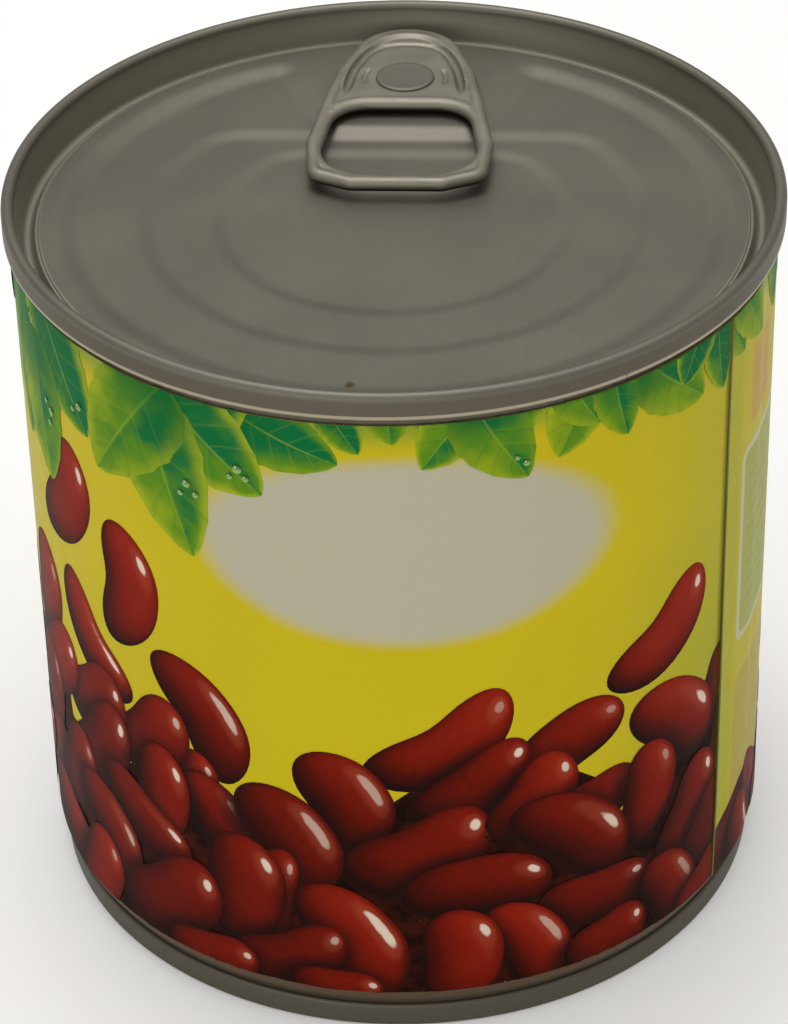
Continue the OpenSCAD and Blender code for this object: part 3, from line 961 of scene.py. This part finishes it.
# Leaves on the front: where the tip is across and up, then length, width and the way the
# tip points in degrees.
FRONT_LEAVES = [
    (-62.0, 64.0, 24.0, 15.0, -88), (-56.0, 70.0, 17.0, 14.0, -70), (-50.5, 72.0, 14.0, 14.0, -100),
    (-43.5, 75.0, 13.0, 13.0, -80), (-29.0, 75.0, 13.0, 13.0, -100), (-20.0, 77.0, 12.0, 12.0, -80),
    (-54.0, 63.0, 20.0, 10.0, -96), (-38.0, 71.5, 16.5, 11.5, -58), (-6.4, 77.8, 13.0, 8.5, -24),
    (-14.6, 72.8, 17.5, 11.5, -42), (-23.1, 62.7, 21.0, 12.0, -74),
    (-36.5, 68.6, 18.5, 12.5, -126), (-47.2, 60.9, 18.5, 11.5, -82),
    (-4.2, 79.2, 6.5, 4.5, -60), (-0.8, 80.4, 5.5, 4.5, -85), (6.5, 78.6, 9.0, 7.0, -75),
    (2.2, 77.3, 10.0, 7.0, -128), (10.5, 78.6, 9.0, 6.5, -110), (13.4, 74.8, 12.5, 8.5, -60),
    (16.8, 76.3, 10.5, 7.5, -116), (21.6, 79.0, 8.0, 6.0, -60), (25.1, 76.3, 9.5, 6.0, -78),
    (30.0, 77.6, 9.0, 8.0, -100), (36.4, 76.1, 12.5, 8.5, -42), (40.2, 74.9, 10.5, 6.0, -82),
    (33.0, 78.8, 8.0, 6.5, -118),
]
DEW_DROPS = [
    (-17.2, 75.6, 0.55), (-16.3, 74.6, 0.4), (-18.1, 74.5, 0.35), (-23.4, 72.0, 0.5),
    (-22.3, 70.9, 0.4), (-24.2, 70.6, 0.35), (-39.2, 74.8, 0.5), (-40.4, 74.0, 0.35),
    (-45.8, 70.6, 0.55), (-46.9, 71.5, 0.35), (-46.3, 69.0, 0.4), (13.2, 76.6, 0.4),
    (12.2, 77.4, 0.3),
]


def shape_blank():
    """A unit disc of even rings, from which each printed shape is copied."""
    drop_selection()
    bpy.ops.mesh.primitive_circle_add(vertices=FACES_ROUND, radius=1, fill_type="NGON")
    blank = named("shape_blank")
    bpy.ops.object.mode_set(mode="EDIT")
    bpy.ops.mesh.select_all(action="SELECT")
    for _ in range(RINGS):
        bpy.ops.mesh.inset(thickness=1 / (RINGS + 1), use_boundary=True)
    bpy.ops.mesh.poke()
    bpy.ops.object.mode_set(mode="OBJECT")
    return blank


def share_across(a, b):
    """How far a point of the unit disc lies from its middle line to its rim, -1 to 1."""
    rim = math.sqrt(max(1e-9, 1 - a * a))
    return max(-1.0, min(1.0, b / rim)) if rim > 1e-4 else 0.0


def turned(x, y, degrees):
    turn = math.radians(degrees)
    return (math.cos(turn) * x - math.sin(turn) * y, math.sin(turn) * x + math.cos(turn) * y)


def bean_point(a, b, bean):
    """Where a point of the unit disc lies on a bean, and the painted form's direction there."""
    middle, up, length, width, turn, curl = bean
    share = share_across(a, b)
    thick = width / 2 * math.sqrt(max(0.0, 1 - abs(a) ** 2.5)) * (1 + 0.06 * a)
    if share * curl > 0:
        thick *= 1 - 0.16 * abs(curl) * math.exp(-(a / 0.4) ** 2)
    spine = curl * length * 0.10 * (a * a - 0.35)
    x = a * length / 2
    y = spine + share * thick
    lean = math.copysign(abs(a) ** 1.9, a)
    side = share * math.sqrt(max(0.0, 1 - lean * lean))
    bow = -0.4 * curl * a
    out = math.sqrt(max(0.0, 1 - lean * lean - side * side))
    x, y = turned(x, y, turn)
    return (middle + x, up + y), (*turned(lean + bow * side * 0.5, side, turn), out)


def leaf_point(a, b, leaf):
    """Where a point of the unit disc lies on a leaf, with its share along and across."""
    tip, up, length, width, turn = leaf
    share = share_across(a, b)
    along = (a + 1) / 2
    thick = width / 2 * 2.1 * along ** 0.42 * (1 - along) ** 0.72
    thick *= 1 + 0.03 * math.sin(along * 34)
    bow = 0.10 * length * (along - 1) * along * (1 if tip > 0 else -1)
    x, y = turned((along - 1) * length, share * thick + bow, turn)
    return (tip + x, up + y), (along, share, 0.0)


def drop_point(a, b, drop):
    """Where a point of the unit disc lies on a drop, and the round form's direction there."""
    middle, up, radius = drop
    return ((middle + a * radius, up + b * radius),
            (a, b, math.sqrt(max(0.0, 1 - a * a - b * b))))


def bean_cover(spot, beans):
    """How deep a point lies in the painted shade of the beans that lie over it, 0 to 1."""
    most = 0.0
    for middle, up, length, width, turn, curl in beans:
        x = spot[0] - middle + COVER_FALL[0]
        y = spot[1] - up + COVER_FALL[1]
        reach = length / 2 + COVER_EDGE + 0.6
        if abs(x) > reach or abs(y) > reach:
            continue
        along, across = turned(x, y, -turn)
        along /= length / 2 + COVER_EDGE
        across /= width / 2 + COVER_EDGE
        across -= curl * 0.35 * (along * along - 0.35)
        most = max(most, 1 - smooth_step(math.hypot(along, across), 0.68, 1.05))
    return most


def stack_layers(shapes, reach):
    """The printed layer of each shape, one above every earlier shape that it may cover."""
    layers = []
    for i, shape in enumerate(shapes):
        level = 0
        for other, known in zip(shapes[:i], layers):
            if math.hypot(shape[0] - other[0], shape[1] - other[1]) < reach(shape, other):
                level = max(level, known + 1)
        layers.append(level)
    return layers


def print_shapes(name, shapes, place_point, layers, base_height, rng, material):
    """All shapes of one kind as one thin printed piece on the paper."""
    blank = shape_blank()
    copies = []
    for shape, layer in zip(shapes, layers):
        piece = blank.copy()
        piece.data = blank.data.copy()
        bpy.context.collection.objects.link(piece)
        form = piece.data.attributes.new("form", "FLOAT_VECTOR", "POINT")
        hue = piece.data.attributes.new("hue", "FLOAT_VECTOR", "POINT")
        cover = piece.data.attributes.new("cover", "FLOAT_VECTOR", "POINT")
        own = (rng.random(), rng.random(), rng.random())
        over = []
        if place_point is bean_point:
            over = [other for other, level in zip(shapes, layers)
                    if level > layer and math.dist(other[:2], shape[:2]) < COVER_REACH]
        height = (base_height + layer * LAYER) * MM
        for vertex, lean, tint, shade in zip(piece.data.vertices, form.data, hue.data,
                                             cover.data):
            spot, direction = place_point(vertex.co.x, vertex.co.y, shape)
            vertex.co = (spot[0] * MM, spot[1] * MM, height)
            lean.vector = direction
            tint.vector = own
            shade.vector = (bean_cover(spot, over), 0, 0)
        copies.append(piece)
    bpy.data.objects.remove(blank)
    pick(*copies)
    bpy.ops.object.join()
    whole = named(name)
    trim_to_paper(whole)
    ink_piece(whole, material)


def trim_to_paper(piece):
    """Cuts flat work off at the label's edges."""
    cuts = [((0, LABEL_LOW + 0.02, 0), (0, -1, 0)), ((0, LABEL_HIGH - 0.02, 0), (0, 1, 0)),
            ((FREE_AT + 0.02, 0, 0), (-1, 0, 0)), ((FREE_AT + ROUND - 0.15, 0, 0), (1, 0, 0))]
    pick(piece)
    bpy.ops.object.mode_set(mode="EDIT")
    for point, normal in cuts:
        bpy.ops.mesh.select_all(action="SELECT")
        bpy.ops.mesh.bisect(plane_co=Vector(point) * MM, plane_no=normal, clear_outer=True)
    bpy.ops.object.mode_set(mode="OBJECT")


def ink_piece(piece, material):
    """Gives flat printed work its thickness and rolls it round the can."""
    piece.data.materials.clear()
    piece.data.materials.append(material)
    apply_modifier(piece, "SOLIDIFY", thickness=INK * MM, offset=-1)
    wrap_sheet(piece)
    smooth_shade(piece, 60)
    finish_piece(piece, material, "printed_paper")


INK_ROUGH = 0.46
INK_GLINT = 0.03


def inked(board, colour, sheet):
    """Semi-gloss ink on slightly uneven paper."""
    board.set(Base_Color=colour, Roughness=INK_ROUGH, Specular_IOR_Level=INK_GLINT)
    board.bump(board.noise(sheet, 2.2, 4.0, 0.6), 0.12, 0.05 * MM)
    return board.material


def bean_print():
    """Painted glossy kidney beans: the form's direction gives their light and shade."""
    board = Board("bean_print")
    form = board.unit(board.carried("form"))
    tint, second, third = board.parts(board.carried("hue"))
    sheet = board.carried("sheet")
    out = board.parts(form)[2]
    light = board.dot(form, Vector((0.42, 0.50, 0.76)).normalized())
    red = paper().bean
    streak = board.noise(sheet, 1.1, 4.0, 0.6)
    light = board.plus(light, board.times(board.minus(streak, 0.5), 0.34))
    light = board.plus(light, board.times(board.minus(second, 0.55), 0.34))
    high_up = board.smooth(board.parts(sheet)[1], 30.0, 47.0)
    light = board.plus(light, board.times(high_up, 0.20))
    dark = (red[0] * 0.34, red[1] * 0.50, red[2] * 0.60)
    glow = (red[0] * 1.40, red[1] * 1.75, red[2] * 1.7)
    colour = board.mix(board.smooth(light, -0.15, 0.45), (0.013, 0.003, 0.002), dark)
    colour = board.mix(board.smooth(light, 0.36, 0.92), colour, red)
    colour = board.mix(board.smooth(light, 0.80, 1.15), colour, glow)
    colour = board.mix(board.times(board.smooth(tint, 0.5, 1.0), 0.4), colour, dark)
    rim = board.smooth(out, 0.0, 0.30, 0.45, 0.0)
    rim = board.times(rim, board.smooth(light, 0.05, 0.55, 1.0, 0.2))
    rim = board.times(rim, board.minus(1.0, board.times(high_up, 0.6)))
    colour = board.mix(rim, colour, (0.030, 0.006, 0.004))
    covered = board.parts(board.carried("cover"))[0]
    colour = board.mix(board.times(covered, 0.86), colour, (0.012, 0.004, 0.003))
    shine = board.dot(form, Vector((0.60, 0.34, 0.72)).normalized())
    wobble = board.minus(board.noise(sheet, 0.7, 2.0), 0.5)
    shine = board.plus(shine, board.times(wobble, 0.014))
    bare = board.minus(1.0, covered)
    colour = board.mix(board.times(bare, board.smooth(shine, 0.90, 0.99, 0.0, 0.20)), colour,
                       (0.52, 0.13, 0.07))
    spot = board.times(board.smooth(shine, 0.983, 0.994),
                       board.smooth(third, 0.10, 0.5, 0.30, 0.95))
    colour = board.mix(board.times(bare, spot), colour, (0.74, 0.60, 0.49))
    colour = edge_shade(board, board.parts(sheet)[0], colour)
    return inked(board, colour, sheet)


def heap_print():
    """Dark brown depth between the beans, with a few bright bits."""
    board = Board("heap_print")
    sheet = board.carried("sheet")
    cloud = board.noise(sheet, 0.35, 4.0, 0.6)
    colour = board.mix(board.smooth(cloud, 0.35, 0.7), (0.008, 0.003, 0.002),
                       (0.045, 0.008, 0.004))
    bits = board.smooth(board.noise(sheet, 0.9, 2.0, 0.5), 0.72, 0.78)
    colour = board.mix(bits, colour, (0.40, 0.30, 0.03))
    board.set(Base_Color=colour, Roughness=INK_ROUGH, Specular_IOR_Level=0.02)
    return board.material


def leaf_print():
    """Printed leaves with a pale midrib, side veins and yellow-green edges."""
    board = Board("leaf_print")
    along, across = board.parts(board.carried("form"))[:2]
    tint, second = board.parts(board.carried("hue"))[:2]
    sheet = board.carried("sheet")
    green = paper().leaf
    mottle = board.noise(sheet, 0.22, 2.0, 0.5)
    side = board.math("ABSOLUTE", across)
    deep = (0.004, green[1] * 0.60, 0.038)
    bright = (0.36, 0.42, 0.016)
    blend = board.plus(board.times(tint, 0.34), board.times(mottle, 0.62))
    blend = board.plus(blend, board.times(along, 0.24))
    blend = board.plus(blend, board.smooth(side, 0.15, 0.95, 0.0, 0.16))
    blend = board.minus(blend, board.smooth(across, -0.15, 0.15, 0.02, 0.20))
    colour = board.mix(board.smooth(blend, 0.42, 0.66), deep, green)
    colour = board.mix(board.smooth(blend, 0.62, 0.92), colour, (0.24, 0.34, 0.010))
    edge = board.smooth(side, 0.62, 1.0, 0.0, 0.75)
    edge = board.times(edge, board.smooth(second, 0.1, 0.7, 0.25, 1.0))
    colour = board.mix(edge, colour, bright)
    slant = board.minus(along, board.times(side, 0.20))
    slant = board.plus(slant, board.times(mottle, 0.03))
    vein = board.math("FRACT", board.times(slant, 6.0))
    colour = board.mix(board.times(board.band(vein, 0.62, 0.04, 0.2), 0.14), colour, deep)
    colour = board.mix(board.times(board.band(vein, 0.5, 0.015, 0.08), 0.10), colour, bright)
    colour = board.mix(board.smooth(side, 0.01, 0.05, 0.42, 0.0), colour, (0.28, 0.40, 0.035))
    near_stem = board.smooth(along, 0.05, 0.55, 0.75, 0.0)
    colour = board.mix(near_stem, colour, (0.006, 0.125, 0.022))
    colour = edge_shade(board, board.parts(sheet)[0], colour)
    return inked(board, colour, sheet)


def dew_print():
    """Printed dew drops, dark above and bright below with one white glint."""
    board = Board("dew_print")
    across, up = board.parts(board.carried("form"))[:2]
    colour = board.mix(board.smooth(up, 0.7, -0.7), (0.03, 0.14, 0.025), (0.30, 0.44, 0.14))
    away = board.length(board.plus(across, 0.30), board.minus(up, 0.35))
    colour = board.mix(board.smooth(away, 0.12, 0.32, 1.0, 0.0), colour, (0.66, 0.68, 0.56))
    board.set(Base_Color=colour, Roughness=INK_ROUGH, Specular_IOR_Level=0.08)
    return board.material


def on_front(shapes):
    """Front work lies one turn further along the sheet than its outer end."""
    return [(x + ROUND, *rest) for x, *rest in shapes]


def back_beans(rng):
    """The heap carried on round the sides and back, in seeded rows."""
    beans = []
    for row in range(6):
        up = 35.0 - row * 5.9
        across = FREE_AT + 4 + (row % 2) * 4.5
        while across < ROUND - 62:
            dip = 4.5 * math.sin(across * 0.11 + row) if row < 2 else 0
            beans.append((across + rng.uniform(-1.6, 1.6), up + rng.uniform(-1.5, 1.5) + dip,
                          rng.uniform(14, 18), rng.uniform(8, 10),
                          rng.choice((-1, 1)) * rng.uniform(12, 80), rng.uniform(0.4, 1.0)))
            across += rng.uniform(9.5, 13)
    clear = [bean for bean in beans if bean[0] > FREE_AT + 27 or bean[1] < 12]
    clear += [(x, 52 + 5 * math.sin(x), 16.5, 8.8, 70 - x, 0.9) for x in (128.0, 147.0, 186.0)]
    return clear


def back_leaves(rng):
    """Leaves along the label's top round the sides and back, in seeded places."""
    leaves = []
    across = FREE_AT + 3
    while across < ROUND - 62:
        length = rng.uniform(10, 21)
        turn = rng.uniform(-125, -55)
        leaves.append((across, LABEL_HIGH - length * rng.uniform(0.42, 0.7), length,
                       length * rng.uniform(0.48, 0.6), turn))
        across += rng.uniform(5.0, 8.5)
    return leaves


# How far to each side of a bean the shade reaches, how far below it the shade starts, and its
# slope to the sides.
FRONT_SHADE = (6.0, 3.0, 0.8)
BACK_SHADE = (8.0, 1.0, 0.45)


class CAN_OT_heap(Operator):
    """Print the dark depth behind the beans"""

    bl_idname = "can.heap"
    bl_label = "Heap shade"

    def execute(self, context):
        beans = [(x, up, *FRONT_SHADE) for x, up, *_ in on_front(HEAP_BEANS)]
        beans += [(x, up, *BACK_SHADE) for x, up, *_ in back_beans(random.Random(5))
                  if up < 45]
        drop_selection()
        bpy.ops.mesh.primitive_grid_add(x_subdivisions=330, y_subdivisions=6, size=1)
        piece = named("print_heap")
        for vertex in piece.data.vertices:
            along = FREE_AT + (vertex.co.x + 0.5) * ROUND
            top = LABEL_LOW + 3.0
            for across, height, reach, drop, slope in beans:
                away = abs(along - across)
                if away < reach:
                    top = max(top, height - drop - away * slope)
            up = LABEL_LOW + (vertex.co.y + 0.5) * (top - LABEL_LOW)
            vertex.co = (along * MM, up * MM, HEAP_UP * MM)
        trim_to_paper(piece)
        ink_piece(piece, heap_print())
        return {"FINISHED"}


class CAN_OT_beans(Operator):
    """Print the kidney beans"""

    bl_idname = "can.beans"
    bl_label = "Beans"

    def execute(self, context):
        beans = on_front(LOOSE_BEANS + HEAP_BEANS) + back_beans(random.Random(5))
        layers = stack_layers(beans, lambda a, b: (a[2] + b[2]) * 0.42)
        print_shapes("print_beans", beans, bean_point, layers, BEANS_UP, random.Random(11),
                     bean_print())
        return {"FINISHED"}


class CAN_OT_leaves(Operator):
    """Print the leaves along the label's top"""

    bl_idname = "can.leaves"
    bl_label = "Leaves"

    def execute(self, context):
        leaves = on_front(FRONT_LEAVES) + back_leaves(random.Random(8))
        layers = stack_layers(leaves, lambda a, b: (a[2] + b[2]) * 0.45)
        print_shapes("print_leaves", leaves, leaf_point, layers, LEAVES_UP, random.Random(3),
                     leaf_print())
        return {"FINISHED"}


class CAN_OT_dew(Operator):
    """Print the dew drops on the leaves"""

    bl_idname = "can.dew"
    bl_label = "Dew drops"

    def execute(self, context):
        drops = on_front(DEW_DROPS)
        print_shapes("print_dew", drops, drop_point, [0] * len(drops), DEW_UP,
                     random.Random(2), dew_print())
        return {"FINISHED"}


# ---------------------------------------------------------------- stage


# Name, place, height of the point it looks at, size and power, in metres and watts.
LIGHTS = [
    ("back_softbox", (-0.10, 0.20, 0.95), 0.05, (0.4, 0.3), 1.8),
    ("top_softbox", (0.0, 0.0, 1.25), 0.04, (1.4, 1.4), 5.5),
    ("front_fill", (-0.35, -0.95, 0.30), 0.04, (1.0, 0.6), 1.85),
]
FLOOR_SIZE = 8


def area_light(name, place, aim_high, size, power):
    """A soft light set out from the label's front, looking at the can's axis."""
    place = Matrix.Rotation(FRONT_TURN, 4, "Z") @ Vector(place)
    drop_selection()
    bpy.ops.object.light_add(type="AREA", location=place)
    light = bpy.context.active_object
    light.name = name
    light.data.shape = "RECTANGLE"
    light.data.size, light.data.size_y = size
    light.data.energy = power
    way = Vector((0, 0, aim_high)) - place
    light.rotation_euler = way.to_track_quat("-Z", "Y").to_euler()


def pale_floor():
    board = Board("pale_floor")
    cloud = board.noise(board.place(), 3.0, 3.0, 0.5)
    # Painted light: the floor glows a little by emission, which also lights the can's lower sides.
    board.set(Base_Color=board.mix(cloud, (0.90, 0.90, 0.895), (0.92, 0.92, 0.915)), Roughness=0.9,
              Emission_Color=(1.0, 1.0, 0.995), Emission_Strength=0.15)
    return board.material


CAMERA_TILT = 35.149     # degrees
CAMERA_PAN = -0.103
CAMERA_ROLL = -1.291
CAMERA_AWAY = 438.84     # millimetres from the point that it looks at
CAMERA_AIM_HIGH = 42.41
CAMERA_LENS = 132.66


class CAN_OT_stage(Operator):
    """Lay the floor and set the lights and the camera"""

    bl_idname = "can.stage"
    bl_label = "Stage"

    def execute(self, context):
        drop_selection()
        bpy.ops.mesh.primitive_plane_add(size=FLOOR_SIZE, location=(0, 0, 0))
        floor = named("studio_floor")
        floor.data.materials.append(pale_floor())
        for light in LIGHTS:
            area_light(*light)
        world = bpy.data.worlds.new("studio_air")
        world.use_nodes = True
        background = world.node_tree.nodes["Background"]
        background.inputs["Color"].default_value = (1.0, 0.98, 0.95, 1)
        background.inputs["Strength"].default_value = 0.50
        context.scene.world = world
        self.place_camera(context)
        context.scene.view_settings.view_transform = "Standard"
        return {"FINISHED"}

    def place_camera(self, context):
        """Looks down on the front at 35 degrees from 0.44 m."""
        tilt = math.radians(CAMERA_TILT)
        back = Vector((0, -math.cos(tilt), math.sin(tilt)))
        right = Vector((1, 0, 0))
        above = Vector((0, math.sin(tilt), math.cos(tilt)))
        place = Vector((0, 0, CAMERA_AIM_HIGH * MM)) + back * CAMERA_AWAY * MM
        pan = math.radians(CAMERA_PAN)
        right, back = (right * math.cos(pan) + back * math.sin(pan),
                       back * math.cos(pan) - right * math.sin(pan))
        roll = math.radians(CAMERA_ROLL)
        right, above = (right * math.cos(roll) + above * math.sin(roll),
                        above * math.cos(roll) - right * math.sin(roll))
        pose = Matrix((right, above, back)).transposed().to_4x4()
        pose.translation = place
        data = bpy.data.cameras.new("front_camera")
        data.sensor_fit = "VERTICAL"
        data.sensor_height = 36
        data.lens = CAMERA_LENS
        data.clip_start = 0.01
        camera = bpy.data.objects.new("front_camera", data)
        context.collection.objects.link(camera)
        camera.matrix_world = Matrix.Rotation(FRONT_TURN, 4, "Z") @ pose
        context.scene.camera = camera


OPERATORS = (CAN_OT_top_end, CAN_OT_bottom_end, CAN_OT_body, CAN_OT_pull_tab, CAN_OT_rivet,
             CAN_OT_label, CAN_OT_heap, CAN_OT_beans, CAN_OT_leaves, CAN_OT_dew, CAN_OT_stage)


class CAN_PT_pieces(Panel):
    """Lists the can's pieces"""

    bl_idname = "CAN_PT_pieces"
    bl_label = "Bean can"
    bl_space_type = "VIEW_3D"
    bl_region_type = "UI"
    bl_category = "Bean can"

    def draw(self, context):
        for settings in (context.scene.can_steel, context.scene.can_label):
            for key in settings.__annotations__:
                self.layout.prop(settings, key)
        for operator in OPERATORS:
            self.layout.operator(operator.bl_idname)


CLASSES = (CanSteelSettings, CanLabelSettings, *OPERATORS, CAN_PT_pieces)


def register():
    for item in CLASSES:
        bpy.utils.register_class(item)
    bpy.types.Scene.can_steel = PointerProperty(type=CanSteelSettings)
    bpy.types.Scene.can_label = PointerProperty(type=CanLabelSettings)


def unregister():
    del bpy.types.Scene.can_label
    del bpy.types.Scene.can_steel
    for item in reversed(CLASSES):
        bpy.utils.unregister_class(item)


def main():
    register()
    bpy.ops.can.top_end()
    bpy.ops.can.bottom_end()
    bpy.ops.can.body()
    bpy.ops.can.pull_tab()
    bpy.ops.can.rivet()
    bpy.ops.can.label()
    bpy.ops.can.heap()
    bpy.ops.can.beans()
    bpy.ops.can.leaves()
    bpy.ops.can.dew()
    bpy.ops.can.stage()


if __name__ == "__main__":
    main()
